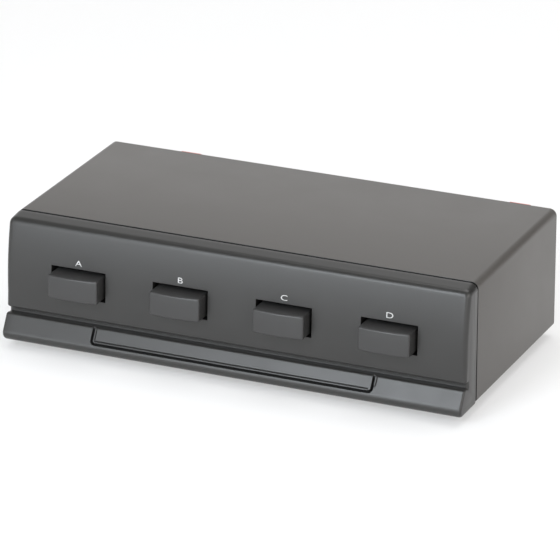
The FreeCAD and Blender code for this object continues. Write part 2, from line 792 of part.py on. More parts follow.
def block_pockets(body):
    """In each clip: the lever's pocket, the contact's chamber, the axle notch and the bore."""
    depth = "(block_flange + tower_depth)"
    pocket_half = "(lever_width / 2 + lever_side_gap)"
    notch_half = f"({pocket_half} + pivot_length)"
    notch_rise = "(pivot_radius + pivot_clearance)"
    throats = new_sketch(body, "XZ_Plane", depth)
    chambers = new_sketch(body, "XZ_Plane", depth)
    notches = new_sketch(body, "XZ_Plane", depth)
    bores = new_sketch(body, "XZ_Plane", "-collar_height")
    for x, level in cell_spots():
        roof = f"{level} + pocket_roof"
        rectangle(throats, f"{x} - {pocket_half}", f"{level} - pocket_floor",
                  f"{x} + {pocket_half}", roof)
        rectangle(chambers, f"{x} - {pocket_half}", f"{level} - slot_under",
                  f"{x} + {pocket_half}", roof)
        rectangle(notches, f"{x} - {notch_half}", f"{level} + pivot_rise - {notch_rise}",
                  f"{x} + {notch_half}", f"{level} + pivot_rise + {notch_rise}")
        circle(bores, x, f"({level} - wire_drop)", "wire_bore")
    pocket(body, throats, depth)
    pocket(body, chambers, f"{depth} - slot_front")
    pocket(body, notches, f"{depth} - pivot_depth + {notch_rise}")
    pocket(body, bores, "slot_front + collar_height", back=True)


def lever(block, side, row, x):
    """Thumb lever: an arm through the pocket, a turned-up thumb pad and round-bottomed axles."""
    body = new_body(f"lever_{block}_{side}_{row}", x=x,
                    y=f"{SEAM} + {BLOCK_FACE} - pivot_depth", z=f"{ROW_LEVEL[row]} + pivot_rise")
    if (block, side, row) in HIGH_LEVERS:
        body.Placement = FreeCAD.Placement(
            body.Placement.Base, FreeCAD.Rotation(V(1, 0, 0), size("lever_play_deg")))
        bind(body, "Placement.Rotation.Angle", "lever_play_deg * 1 deg")
    tip = "(pivot_depth + lever_reach - block_flange + rear_recess)"
    thick = "lever_thickness"
    profile = new_sketch(body, "YZ_Plane")
    loop(profile, [
        ("-0.8 * pivot_depth", f"-1.5 * {thick}"), ("-0.4 * pivot_depth", f"-1.7 * {thick}"),
        ("pivot_radius / 2", f"-0.8 * {thick}"), (f"{tip} - 1.6 * {thick}", f"-0.4 * {thick}"),
        (f"{tip} - 0.5 * {thick}", "0"), (tip, "lever_rise - 0.2 * lever_thickness"),
        (f"{tip} - 0.6 * {thick}", "lever_rise"), (f"{tip} - 1.5 * {thick}", f"{thick}"),
        ("pivot_radius", f"0.9 * {thick}"), ("-pivot_radius", f"0.8 * {thick}")])
    pad(body, profile, "lever_width", both=True)
    axle = new_sketch(body, "YZ_Plane")
    loop(axle, [(f"pivot_radius * cos({turn} deg)", f"pivot_radius * sin({turn} deg)")
                for turn in (250, 290, 350, 410, 490, 550)], bow="pivot_radius")
    pad(body, axle, "lever_width + 2 * lever_side_gap + 2 * pivot_length - 2 * lead_clearance",
        both=True)


def terminal_contacts():
    """Twenty bent spring strips, each with its tail through the upright board."""
    body = new_body("terminal_contacts", x=column_places()[0][2], z=LOWER_ROW)
    front = f"({BLOCK_FACE} - slot_front - contact_gap)"
    back = f"({TOWER_END} - board_thickness - contact_tail)"
    low, high = "(contact_gap - slot_under)", "(pocket_roof - 3 * contact_gap)"
    thick = "contact_thickness"
    strip = new_sketch(body, "YZ_Plane")
    loop(strip, [(back, low), (front, low), (front, high), (f"{front} - {thick}", high),
                 (f"{front} - {thick}", f"{low} + {thick}"), (back, f"{low} + {thick}")])
    first = pad(body, strip, "contact_width", both=True)
    row_pattern(body, first, "X_Axis", "(2 * block_count - 1) * column_pitch", "2 * block_count")
    upper = new_sketch(body, "YZ_Plane")
    loop(upper, [(back, f"row_pitch + {low}"), (front, f"row_pitch + {low}"),
                 (front, f"row_pitch + {high}"), (f"{front} - {thick}", f"row_pitch + {high}"),
                 (f"{front} - {thick}", f"row_pitch + {low} + {thick}"),
                 (back, f"row_pitch + {low} + {thick}")])
    second = pad(body, upper, "contact_width", both=True)
    row_pattern(body, second, "X_Axis", "(2 * block_count - 1) * column_pitch", "2 * block_count")


# ---------------------------------------------------------------- build and write

def build():
    top_cover()
    chassis_tray()
    front_panel()
    rubber_feet()
    cover_screws()
    for index, letter in enumerate(BUTTONS):
        button_cap(letter, index)
        plunger(letter, index)
        switch_body(letter, index)
    switch_board()
    board_posts()
    protection_resistors()
    terminal_board()
    link_wires()
    for index, name in enumerate(BLOCKS):
        terminal_block(name, index)
    for block, side, x in column_places():
        for row in ROW_LEVEL:
            lever(block, side, row, x)
    terminal_contacts()
    doc.recompute()


def check():
    """Stop if any object failed to compute or any sub-part is not sound."""
    for thing in doc.Objects:
        if "Invalid" in thing.State or "Error" in thing.State:
            raise RuntimeError(f"{thing.Label} failed: {thing.State}")
    for piece in SUBPARTS:
        if piece.Shape.isNull() or not piece.Shape.isValid() or not piece.Shape.Solids:
            raise RuntimeError(f"{piece.Label} has no sound shape")


def write():
    os.makedirs("parts", exist_ok=True)
    for piece in SUBPARTS:
        piece.Shape.exportStep(f"parts/{piece.Label}.step")
        print(f"{piece.Label}: {len(piece.Shape.Solids)} solids, {piece.Shape.Volume:.1f} mm3")


build()
check()
write()
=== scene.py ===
# %% [markdown]
# # A four-way speaker selector
# A speaker selector is a low steel box. A sheet of painted steel folds over the top and both
# sides, a moulded plastic front carries four push buttons, and the back holds twenty sprung
# wire terminals. The solids come from the frame. This lesson gives each one its finish, and
# makes again, as smooth surfaces, the pieces whose curves catch the light.

# %% Load the frame
import bpy
import bmesh
import math
import numpy as np
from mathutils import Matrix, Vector


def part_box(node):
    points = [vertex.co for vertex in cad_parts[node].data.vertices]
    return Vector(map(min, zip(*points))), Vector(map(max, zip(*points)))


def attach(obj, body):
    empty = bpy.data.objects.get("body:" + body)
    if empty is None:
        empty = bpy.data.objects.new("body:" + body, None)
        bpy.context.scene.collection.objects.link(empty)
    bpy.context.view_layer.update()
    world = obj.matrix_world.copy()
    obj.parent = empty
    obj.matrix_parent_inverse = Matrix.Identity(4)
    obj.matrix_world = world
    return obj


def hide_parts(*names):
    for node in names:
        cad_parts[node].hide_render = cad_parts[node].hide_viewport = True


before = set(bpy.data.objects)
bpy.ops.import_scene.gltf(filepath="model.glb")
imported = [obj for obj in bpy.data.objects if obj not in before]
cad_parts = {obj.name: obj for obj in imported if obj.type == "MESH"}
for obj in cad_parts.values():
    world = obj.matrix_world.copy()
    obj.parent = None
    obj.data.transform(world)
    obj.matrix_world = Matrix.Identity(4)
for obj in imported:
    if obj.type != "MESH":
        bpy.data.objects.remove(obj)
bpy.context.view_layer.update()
MM = 0.001
print("nodes in the frame:", len(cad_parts))

# %% [markdown]
# ## Where things are
# Most places are read from the frame, so the finish always fits the solids. The seam is the
# line where the moulded front meets the steel cover, and the front is drawn outwards from it.

# %% Places read from the frame
cover_low, cover_high = (np.array(corner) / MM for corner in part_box("top_cover"))
HALF_WIDTH, TOP, UNDER = cover_high[0], cover_high[2], cover_low[2]
SEAM, REAR = cover_low[1], cover_high[1]
BUTTONS = "abcd"
BUTTON_PITCH, BUTTON_LEVEL = 45.0, 31.5
button_middle = {letter: (index - 1.5) * BUTTON_PITCH for index, letter in enumerate(BUTTONS)}
print("half width", HALF_WIDTH, "top", TOP, "seam", SEAM, "rear", REAR)

# %% [markdown]
# ## Finishes
# Every finish is a small tree of nodes on a Principled shader. Sprayed paint and moulded
# plastic both look flat from afar, but close up paint has a soft orange peel and a moulding has
# the fine spark-eroded grain of its mould. One helper lays both: a noise in object coordinates
# drives the colour a little, the roughness a little, and the height of the bump.

# %% A helper for finishes
def finish(name, colour, rough, grain, bump, mottle=0.06, metallic=0.0, specular=0.5,
           painted_seam_shade=False, painted_recess_shade=False):
    """A shader whose colour, roughness and height follow a noise of `grain` millimetres.

    The colour varies by `mottle` either way. The seam flag paints shade on the faces that look
    forwards, so that the front edge of a sheet reads as the dark shadow line of a seam. The
    recess flag paints a near-black shade, and raises the roughness, where a mesh marks places
    deep in a groove or hidden behind the seam.
    """
    material = bpy.data.materials.new(name)
    material.use_nodes = True
    nodes, links = material.node_tree.nodes, material.node_tree.links
    shader = nodes["Principled BSDF"]
    shader.inputs["Metallic"].default_value = metallic
    shader.inputs["Specular IOR Level"].default_value = specular
    place = nodes.new("ShaderNodeTexCoord")
    fine, broad = nodes.new("ShaderNodeTexNoise"), nodes.new("ShaderNodeTexNoise")
    for noise, size, detail in ((fine, grain, 3.0), (broad, 40 * grain, 2.0)):
        noise.inputs["Scale"].default_value = 1 / (size * MM)
        noise.inputs["Detail"].default_value = detail
        links.new(place.outputs["Object"], noise.inputs["Vector"])
    tint = nodes.new("ShaderNodeValToRGB")
    tint.color_ramp.elements[0].position, tint.color_ramp.elements[1].position = 0.3, 0.7
    for element, shade in zip(tint.color_ramp.elements, (1 - mottle, 1 + mottle)):
        element.color = (*[min(1.0, part * shade) for part in colour], 1)
    mix = nodes.new("ShaderNodeMath")
    mix.operation = "MULTIPLY_ADD"
    mix.inputs[1].default_value = 0.5
    half_fine = nodes.new("ShaderNodeMath")
    half_fine.operation = "MULTIPLY"
    half_fine.inputs[1].default_value = 0.5
    links.new(fine.outputs["Fac"], half_fine.inputs[0])
    links.new(broad.outputs["Fac"], mix.inputs[0])
    links.new(half_fine.outputs[0], mix.inputs[2])
    links.new(mix.outputs[0], tint.inputs["Fac"])
    # The near-black below is the colour of painted shade, mixed in by the seam and recess flags.
    if painted_seam_shade or painted_recess_shade:
        edge = nodes.new("ShaderNodeMix")
        edge.data_type = "RGBA"
        edge.inputs["B"].default_value = (0.004, 0.004, 0.004, 1)
        links.new(tint.outputs["Color"], edge.inputs["A"])
        links.new(edge.outputs["Result"], shader.inputs["Base Color"])
    else:
        links.new(tint.outputs["Color"], shader.inputs["Base Color"])
    # Painted shade: faces that look forwards go towards black, for the shadow line of the seam at
    # the sheet's front edge.
    if painted_seam_shade:
        facing, front = nodes.new("ShaderNodeNewGeometry"), nodes.new("ShaderNodeVectorMath")
        front.operation = "DOT_PRODUCT"
        front.inputs[1].default_value = (0, -1, 0)
        links.new(facing.outputs["Normal"], front.inputs[0])
        links.new(front.outputs["Value"], edge.inputs["Factor"])
    sheen = nodes.new("ShaderNodeMapRange")
    sheen.inputs["To Min"].default_value = rough - 0.05
    sheen.inputs["To Max"].default_value = rough + 0.05
    links.new(broad.outputs["Fac"], sheen.inputs["Value"])
    links.new(sheen.outputs["Result"], shader.inputs["Roughness"])
    # Painted shade: where the attribute is high the colour goes towards black, for the shade in
    # the groove and behind the seam, and the roughness rises.
    if painted_recess_shade:
        deep, dull = nodes.new("ShaderNodeAttribute"), nodes.new("ShaderNodeMath")
        deep.attribute_name = "painted_recess_shade"
        dull.operation = "MAXIMUM"
        links.new(deep.outputs["Fac"], edge.inputs["Factor"])
        links.new(deep.outputs["Fac"], dull.inputs[0])
        links.new(sheen.outputs["Result"], dull.inputs[1])
        links.new(dull.outputs[0], shader.inputs["Roughness"])
    relief = nodes.new("ShaderNodeBump")
    relief.inputs["Strength"].default_value = bump
    relief.inputs["Distance"].default_value = 0.02 * MM
    links.new(fine.outputs["Fac"], relief.inputs["Height"])
    links.new(relief.outputs["Normal"], shader.inputs["Normal"])
    return material

# %% The finishes of this object
# Each row: colour, roughness, grain in millimetres, strength of the bump, and what is special.
RECIPES = {
    # The cover paints shade on its front edge, and the front moulding paints shade in its groove
    # and behind the seam.
    "cover_paint": ((0.088, 0.082, 0.076), 0.41, 0.45, 0.5, {"specular": 0.58, "painted_seam_shade": True}),
    "tray_steel": ((0.10, 0.10, 0.098), 0.5, 0.45, 0.5, {}),
    "panel_plastic": ((0.0262, 0.0256, 0.0244), 0.34, 0.22, 0.5, {"painted_recess_shade": True}),
    "cap_plastic": ((0.034, 0.0335, 0.033), 0.36, 0.22, 0.35, {}),
    "foot_rubber": ((0.022, 0.022, 0.022), 0.75, 0.3, 0.8, {}),
    "screw_steel": ((0.12, 0.12, 0.12), 0.35, 0.2, 0.3, {"metallic": 1.0}),
    "board_laminate": ((0.34, 0.23, 0.09), 0.5, 0.5, 0.4, {"mottle": 0.12}),
    "support_nylon": ((0.75, 0.74, 0.7), 0.45, 0.4, 0.3, {}),
    "resistor_cement": ((0.7, 0.68, 0.62), 0.85, 0.25, 1.0, {"mottle": 0.1}),
    "switch_plastic": ((0.03, 0.03, 0.03), 0.4, 0.3, 0.3, {}),
    "plunger_plastic": ((0.78, 0.78, 0.75), 0.35, 0.3, 0.2, {}),
    "block_plastic": ((0.022, 0.022, 0.023), 0.38, 0.25, 0.4, {}),
    "lever_red": ((0.52, 0.018, 0.014), 0.3, 0.35, 0.25, {}),
    "lever_black": ((0.024, 0.024, 0.025), 0.3, 0.35, 0.25, {}),
    "contact_brass": ((0.72, 0.66, 0.5), 0.3, 0.2, 0.2, {"metallic": 1.0}),
    "wire_jacket": ((0.05, 0.05, 0.05), 0.5, 0.3, 0.3, {}),
    "letter_ink": ((0.62, 0.62, 0.61), 0.6, 0.1, 0.2, {"mottle": 0.03}),
}
FINISHES = {name: finish(name, *recipe, **special)
            for name, (*recipe, special) in RECIPES.items()}
print("finishes:", ", ".join(FINISHES))

# %% [markdown]
# ## Tools for surfaces
# A moulding or a folded sheet is a profile carried along a line. So the helpers round the
# corners of a profile, find its outward normals and carry it from end to end, and one turns
# arrays of points and faces into a mesh that rides on its body of the frame.

# %% Round a corner
def corner_arc(before, corner, after, radius, count):
    """Points of the circle of this radius that touches both sides of a corner.

    The centre lies on the corner's bisector at radius / sin(half angle), and the arc runs
    between the two touching points, by spherical interpolation of the spokes.
    """
    before, corner, after = (np.array(p, float) for p in (before, corner, after))
    to_before = (before - corner) / np.linalg.norm(before - corner)
    to_after = (after - corner) / np.linalg.norm(after - corner)
    half = math.acos(float(np.clip(to_before @ to_after, -1, 1))) / 2
    reach = radius / math.tan(half)
    bisector = (to_before + to_after) / np.linalg.norm(to_before + to_after)
    centre = corner + bisector * radius / math.sin(half)
    spokes = corner + to_before * reach - centre, corner + to_after * reach - centre
    share = np.linspace(0, 1, count)[:, None]
    sweep = math.pi - 2 * half
    turn = np.sin((1 - share) * sweep) * spokes[0] + np.sin(share * sweep) * spokes[1]
    return centre + turn / math.sin(sweep)


def rounded_loop(corners, radii, count=5, closed=True):
    """A profile through the corners with each one rounded by its own radius."""
    pieces = []
    total = len(corners)
    for k, (corner, radius) in enumerate(zip(corners, radii)):
        if radius and (closed or 0 < k < total - 1):
            after = corners[(k + 1) % total]
            pieces.append(corner_arc(corners[k - 1], corner, after, radius, count))
        else:
            pieces.append(np.array([corner], float))
    return np.concatenate(pieces)


def outward(path, closed=True):
    """Unit normals on the right of the way a profile runs: its tangent turned by -90 degrees."""
    ahead = np.roll(path, -1, 0) - path
    behind = path - np.roll(path, 1, 0)
    if not closed:
        ahead[-1], behind[0] = behind[-1], ahead[0]
    ahead = ahead / np.linalg.norm(ahead, axis=1)[:, None]
    behind = behind / np.linalg.norm(behind, axis=1)[:, None]
    tangent = ahead + behind
    tangent /= np.linalg.norm(tangent, axis=1)[:, None]
    return np.stack([tangent[:, 1], -tangent[:, 0]], 1)

# %% Turn arrays into a piece
def grid_quads(rows, columns, wrap=False):
    """The four corners of each cell of a grid of rows x columns points."""
    index = np.arange(rows * columns).reshape(rows, columns)
    if wrap:
        index = np.concatenate([index, index[:, :1]], 1)
    corners = [index[:-1, :-1], index[1:, :-1], index[1:, 1:], index[:-1, 1:]]
    return np.stack(corners, -1).reshape(-1, 4)


def piece(name, points, faces, body, look, smooth_below=40.0):
    """A mesh from points in millimetres, shaded smooth where faces meet at small angles."""
    mesh = bpy.data.meshes.new(name)
    mesh.from_pydata((np.asarray(points) * MM).tolist(), [], [list(map(int, f)) for f in faces])
    mesh.validate()
    mesh.polygons.foreach_set("use_smooth", np.ones(len(mesh.polygons), bool))
    mesh.set_sharp_from_angle(angle=math.radians(smooth_below))
    mesh.materials.append(FINISHES[look])
    thing = bpy.data.objects.new(name, mesh)
    bpy.context.collection.objects.link(thing)
    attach(thing, body)
    return thing


def joined(parts):
    """One list of points and one of faces from several (points, faces) pairs."""
    points, faces, start = [], [], 0
    for these_points, these_faces in parts:
        points.append(np.asarray(these_points, float))
        faces += [[int(i) + start for i in face] for face in these_faces]
        start += len(these_points)
    return np.concatenate(points), faces


def prism(loop, low, high, edge=0.3, steps=3):
    """A closed profile carried from low to high, with both rims rounded by `edge`.

    At each rim the profile shrinks by edge * (1 - cos t) along its normals while the height
    runs on by edge * sin t, a quarter circle. Points are (u, v, height).
    """
    normals = outward(loop)
    turn = np.linspace(math.pi / 2, 0, steps + 1)
    shrink = edge * (1 - np.cos(turn))
    run = edge * (1 - np.sin(turn))
    heights = np.concatenate([low + run, high - run[::-1]])
    shrinks = np.concatenate([shrink, shrink[::-1]])
    rings = loop[None] - normals[None] * shrinks[:, None, None]
    lift = np.broadcast_to(heights[:, None, None], rings.shape[:2] + (1,))
    points = np.concatenate([rings, lift], 2).reshape(-1, 3)
    count = len(loop)
    faces = grid_quads(len(heights), count, wrap=True)[:, ::-1].tolist()
    faces.append(list(range(count))[::-1])
    faces.append(list(range(len(points) - count, len(points))))
    return points, faces


def folded_sheet(path, thickness, start, end, edge=0.2, steps=3):
    """A bent strip: the path and its copy moved in by the thickness, carried from start to end.

    Its two ends are filled by quads between the path and its copy, because one large concave
    face would be cut into triangles that cross the hollow. Points are (u, v, height).
    """
    inside = path - outward(path, closed=False) * thickness
    loop = np.concatenate([path, inside[::-1]])
    points, faces = prism(loop, start, end, edge, steps)
    total, half = len(loop), len(path)
    base = len(points) - total
    pairs = np.arange(half - 1)
    near = np.stack([pairs, pairs + 1, total - 2 - pairs, total - 1 - pairs], -1)
    caps = near[:, ::-1].tolist() + (near + base).tolist()
    return points, faces[:-2] + caps


print("tools ready")

# %% [markdown]
# ## The moulded front
# The front is one thin moulding. Seen from the end, its profile runs forward along the bottom,
# round the foot, up the sloping chin, back along a ledge into a narrow waist, out again under
# the lip, up a gently bowed face and back along the top. So the outside is a grid: one way
# along that profile, the other way across the width. Near both ends the profile shrinks along
# its own normals, which rounds the end edges. The top strip falls a little towards the rim.

# %% The profile of the moulding
FACE_REACH, FACE_BOW, FACE_CROWN = 12.1, 123.0, 25.4
LIP_LEVEL, WAIST_REACH, WAIST_LEVEL, HEEL_REACH, LEDGE_LEVEL = 16.6, 9.5, 16.1, 9.5, 14.2
CHIN_REACH, CHIN_TILT, CHIN_BOTTOM, BROW_ROUND = 12.63, math.radians(31.2), 3.5, 1.2
WINDOW_HALF_WIDTH, WINDOW_HALF_HEIGHT, COLLAR_WALL, COLLAR_END = 12.1, 6.2, 1.2, 5.0
WALL, SEAM_GAP, SEAM_ROUND, RIM_ROUND, RIM_DROP = 2.2, 1.1, 0.25, 3.2, 1.0
FINE_STEP, WINDOW_ROWS = 0.14, 8


def face_depth(level, inset=0.0):
    """Depth of the bowed face: a circle about a centre well behind it, at the crown's level."""
    bow = FACE_BOW - inset
    return bow - (FACE_REACH - inset) - np.sqrt(bow ** 2 - (level - FACE_CROWN) ** 2)


def chin_depth(level):
    """Depth of the chin: a straight slope that leans out as it goes down."""
    return -(CHIN_REACH + (LEDGE_LEVEL - level) * math.tan(CHIN_TILT))


def front_profile(inset, rounds, spread):
    """The moulding's profile (depth, level), from the bottom seam round to the top seam.

    `inset` moves it inwards by the wall, `rounds` are the radii of foot, brow, waist, lip and
    rim, and `spread` widens the rows that bound the windows. Below the windows, and across
    them, the face has WINDOW_ROWS rows.
    """
    bottom, top = CHIN_BOTTOM + inset, TOP - inset
    slope_shift = inset / math.cos(CHIN_TILT)
    foot = (chin_depth(bottom) + slope_shift, bottom)
    brow = (chin_depth(LEDGE_LEVEL - inset) + slope_shift, LEDGE_LEVEL - inset)
    tip = (-(WAIST_REACH - inset), WAIST_LEVEL + inset)
    heel = (-(HEEL_REACH - inset), LEDGE_LEVEL - inset)
    lip_level = LIP_LEVEL + inset
    lip = (face_depth(lip_level, inset), lip_level)
    rim_level = top - RIM_DROP
    rim = (face_depth(rim_level, inset), rim_level)
    foot_round, brow_round, waist_round, lip_round, rim_round = rounds

    def on_face(level):
        return face_depth(level, inset), level

    low_row, high_row = (BUTTON_LEVEL + s * (WINDOW_HALF_HEIGHT + spread) for s in (-1, 1))
    levels = np.concatenate([
        np.linspace(lip_level + 1.2, low_row, WINDOW_ROWS + 1)[:-1],
        np.linspace(low_row, high_row, WINDOW_ROWS + 1)[:-1],
        np.linspace(high_row, rim_level - RIM_ROUND, 11)])
    foot_arc = corner_arc((-SEAM_GAP, bottom), foot, brow, foot_round, 48)
    brow_arc = corner_arc(foot, brow, heel, brow_round, 12)
    slope = brow_arc[0] - foot_arc[-1]
    climb = np.linalg.norm(slope)
    fine_rows = np.arange(FINE_STEP, 3.0, FINE_STEP)
    along_chin = np.concatenate([fine_rows, np.linspace(3.2, climb, 9)[:-1]]) / climb
    seam_low = corner_arc((-SEAM_GAP, bottom + 1), (-SEAM_GAP, bottom), foot, SEAM_ROUND, 4)
    seam_high = corner_arc(rim, (-SEAM_GAP, top), (-SEAM_GAP, top - 1), SEAM_ROUND, 4)
    pieces = [
        np.concatenate([seam_low, np.linspace(seam_low[-1], foot_arc[0], 8)[1:-1]]), foot_arc,
        foot_arc[-1] + along_chin[:, None] * slope, brow_arc,
        np.linspace(brow_arc[-1], heel, 6)[1:-1],
        corner_arc(brow, heel, tip, waist_round, 4), corner_arc(heel, tip, lip, waist_round, 4),
        np.linspace(tip, lip, 7)[1:-2],
        corner_arc(tip, lip, on_face(lip_level + 1), lip_round, 8),
        np.stack([face_depth(levels, inset), levels], 1),
        corner_arc(on_face(rim_level - 0.8 * RIM_ROUND), rim, (-SEAM_GAP, top), rim_round, 12),
        np.linspace(rim, seam_high[0], 6)[2:-1], seam_high]
    starts = np.cumsum([0] + [len(p) for p in pieces])
    rows = {"foot": starts[1], "chin": starts[2], "brow": starts[3], "ledge": starts[4],
            "waist": starts[5], "lip": starts[8], "face": starts[9], "rim": starts[10],
            "windows": (starts[9] + WINDOW_ROWS, starts[9] + 2 * WINDOW_ROWS)}
    return np.concatenate(pieces), rows


outer_profile, rows = front_profile(0.0, (2.9, BROW_ROUND, 0.12, 0.8, RIM_ROUND), 0.0)
inner_profile, _ = front_profile(WALL, (0.9, 0.5, 0.12, 0.5, 0.5), COLLAR_WALL)
print("profile points:", len(outer_profile), "and inside:", len(inner_profile))

# %% [markdown]
# A shallow groove draws a wide U on the chin, with a fine crease running along beside it. Both
# are easiest as a distance: each point of the grid knows how far it is from the U's middle
# line, and sinks where that falls within the groove or the crease. The grid needs fine columns
# only round the arms of the U.

# %% The U-shaped groove
GROOVE_HALF, GROOVE_WIDTH, GROOVE_DEPTH, GROOVE_TURN, GROOVE_FALL = 61.0, 0.95, 1.5, 1.5, 6.83
GROOVE_MIDDLE, GROOVE_WALL = 0.8, 0.14
CREASE_PLACE, CREASE_WIDTH, CREASE_DEPTH = -1.3, 0.25, 0.35


def groove_sink(across, fall):
    """Depth of groove and crease at a place across the width and down the chin from the brow.

    The distance outside the U is a - middle on its arms, fall - bottom on its run, and
    hypot - radius about the centre of each rounded corner. A cut centred at distance p and w
    wide sinks fully where |distance - p| < w / 2, within walls that follow an S curve.
    The crease runs inside the U, and crosses to its outside round the corner at the right.
    """
    away = np.abs(across - GROOVE_MIDDLE)
    beside, below = away - (GROOVE_HALF - GROOVE_TURN), fall - (GROOVE_FALL - GROOVE_TURN)
    turn = np.hypot(beside, below) - GROOVE_TURN
    outside = np.where((beside > 0) & (below > 0), turn,
                       np.where(below <= 0, away - GROOVE_HALF, fall - GROOVE_FALL))
    up_arm = np.clip(1 - (below + GROOVE_TURN) / (2 * GROOVE_TURN), 0, 1)
    crease = CREASE_PLACE * (1 - 2 * up_arm * (beside > 0) * (across > 0))
    sink = 0
    for place, width, depth in ((0.0, GROOVE_WIDTH, GROOVE_DEPTH),
                                (crease, CREASE_WIDTH, CREASE_DEPTH)):
        reach = width / 2 + GROOVE_WALL / 2
        share = np.clip((reach - np.abs(outside - place)) / GROOVE_WALL, 0, 1)
        sink = sink + depth * share * share * (3 - 2 * share)
    return sink


# The plain columns end at GRID_END, and at INNER_END on the inside. The groove fades out over
# FADE_ROWS rows, TOP_ROWS short of the ledge, and nothing sinks lower than LOWEST_FALL.
GRID_END, INNER_END, END_COLUMNS = 96, 94, 8
FADE_ROWS, TOP_ROWS, LOWEST_FALL = 6, 2, 9
turn_zone = np.arange(GROOVE_HALF - 2.6, GROOVE_HALF + 1.9, FINE_STEP)
turn_zone = np.concatenate([GROOVE_MIDDLE + turn_zone, GROOVE_MIDDLE - turn_zone])
window_sides = np.array([middle + side * WINDOW_HALF_WIDTH
                         for middle in button_middle.values() for side in (-1, 1)])
plain = np.linspace(-GRID_END, GRID_END, 41)
near = np.abs(plain[:, None] - np.concatenate([window_sides, turn_zone])[None]).min(1)
across = np.sort(np.concatenate([plain[near > 1.2], window_sides, turn_zone]))
steps = np.linalg.norm(np.diff(outer_profile, axis=0), axis=1)
length = np.concatenate([[0], np.cumsum(steps)])
brow_corner = length[rows["brow"]] + BROW_ROUND / math.tan((math.pi / 2 + CHIN_TILT) / 2)
fall = brow_corner - length
rows_below = rows["ledge"] - TOP_ROWS - np.arange(len(length))
fades = np.clip(rows_below / FADE_ROWS, 0, 1)
fades[fall > LOWEST_FALL] = 0
print("columns across the front:", len(across))

# %% [markdown]
# The end edges are rounded by different amounts: most at the top, where the moulding follows
# the fold of the steel cover, and least at the lip and the waist. The inside is the same grid
# on the inner profile, turned the other way, and each window joins the two through its collar,
# so the whole moulding is one closed surface.

# %% Build the moulded front
def end_round(path):
    """How much each row of the profile is rounded at the ends, by its place on the profile."""
    marks = [0, rows["foot"], rows["chin"], rows["brow"], rows["ledge"], rows["waist"],
             rows["lip"] + 7, rows["face"] + 6, rows["rim"], len(path) - 1]
    amounts = [1.6, 1.5, 1.0, 0.9, 0.8, 1.6, 1.2, 2.1, 2.3, 3.0]
    return np.interp(np.arange(len(path)), marks, amounts)


def front_grid(profile, half, edge, columns, sink):
    """Points (row, column): the profile carried across, shrunk along its normals at both ends."""
    normals = -outward(profile, closed=False)
    normals[:4], normals[-4:] = normals[4], normals[-5]
    turn = np.linspace(0, math.pi / 2, END_COLUMNS)
    ends = half - edge[:, None] * (1 - np.sin(turn))[None]
    middle = np.broadcast_to(columns[None], (len(profile), len(columns)))
    x = np.concatenate([-ends[:, ::-1], middle, ends], 1)
    shrink = edge[:, None] * (1 - np.cos(turn))[None]
    inwards = np.concatenate([shrink[:, ::-1], sink, shrink], 1)
    y = profile[:, 0][:, None] - normals[:, 0][:, None] * inwards
    z = profile[:, 1][:, None] - normals[:, 1][:, None] * inwards
    return np.stack([x, y + SEAM, z], -1)


sink = groove_sink(across[None], fall[:, None]) * fades[:, None]
outer = front_grid(outer_profile, HALF_WIDTH, end_round(outer_profile), across, sink)
knots = np.concatenate([[-GRID_END], window_sides, [GRID_END]])
collar_sides = window_sides + COLLAR_WALL * np.tile([-1, 1], len(BUTTONS))
moved = np.concatenate([[-INNER_END], collar_sides, [INNER_END]])
inner_across = np.interp(across, knots, moved)
inner = front_grid(inner_profile, HALF_WIDTH - WALL, np.full(len(inner_profile), 0.2),
                   inner_across, np.zeros_like(sink))
grid_rows, grid_columns = outer.shape[:2]
index = np.arange(grid_rows * grid_columns).reshape(grid_rows, grid_columns)
low_row, high_row = rows["windows"]
sides = [int(np.argmin(np.abs(across - x))) + END_COLUMNS for x in window_sides]
openings = [(low_row, high_row, left, right) for left, right in zip(sides[::2], sides[1::2])]


def window_loop(r0, r1, c0, c1):
    """Indices round a window: along the bottom, up the right, back along the top, and down."""
    return np.concatenate([index[r0, c0:c1], index[r0:r1, c1],
                           index[r1, c1:c0:-1], index[r1:r0:-1, c0]])


keep = np.ones((grid_rows - 1, grid_columns - 1), bool)
for r0, r1, c0, c1 in openings:
    keep[r0:r1, c0:c1] = False
cells = grid_quads(grid_rows, grid_columns).reshape(grid_rows - 1, grid_columns - 1, 4)[keep]
shift = grid_rows * grid_columns
points = [outer.reshape(-1, 3), inner.reshape(-1, 3)]
faces = cells[:, ::-1].tolist() + (cells + shift).tolist()
start = 2 * shift
for window in openings:
    loop = window_loop(*window)
    for source in (outer, inner):
        ring = source.reshape(-1, 3)[loop].copy()
        ring[:, 1] = SEAM - COLLAR_END
        points.append(ring)
    count = len(loop)
    around = np.arange(count)
    rings = np.stack([loop, start + around, start + count + around, loop + shift])
    ahead = np.roll(rings, -1, 1)
    faces += np.stack([rings[:-1], ahead[:-1], ahead[1:], rings[1:]], -1).reshape(-1, 4).tolist()
    start += 2 * count
for column, flip in ((0, False), (grid_columns - 1, True)):
    cap, back = index[:, column].tolist(), (index[:, column] + shift).tolist()
    faces.append(cap[::-1] if flip else cap)
    faces.append(back if flip else back[::-1])
    rim = [cap[0], back[0], back[-1], cap[-1]]
    faces.append(rim if flip else rim[::-1])
for row, flip in ((0, False), (grid_rows - 1, True)):
    front, behind = index[row], index[row] + shift
    rim = np.stack([front[:-1], front[1:], behind[1:], behind[:-1]], -1)
    faces += (rim[:, ::-1] if flip else rim).tolist()
print("front moulding faces:", len(faces))
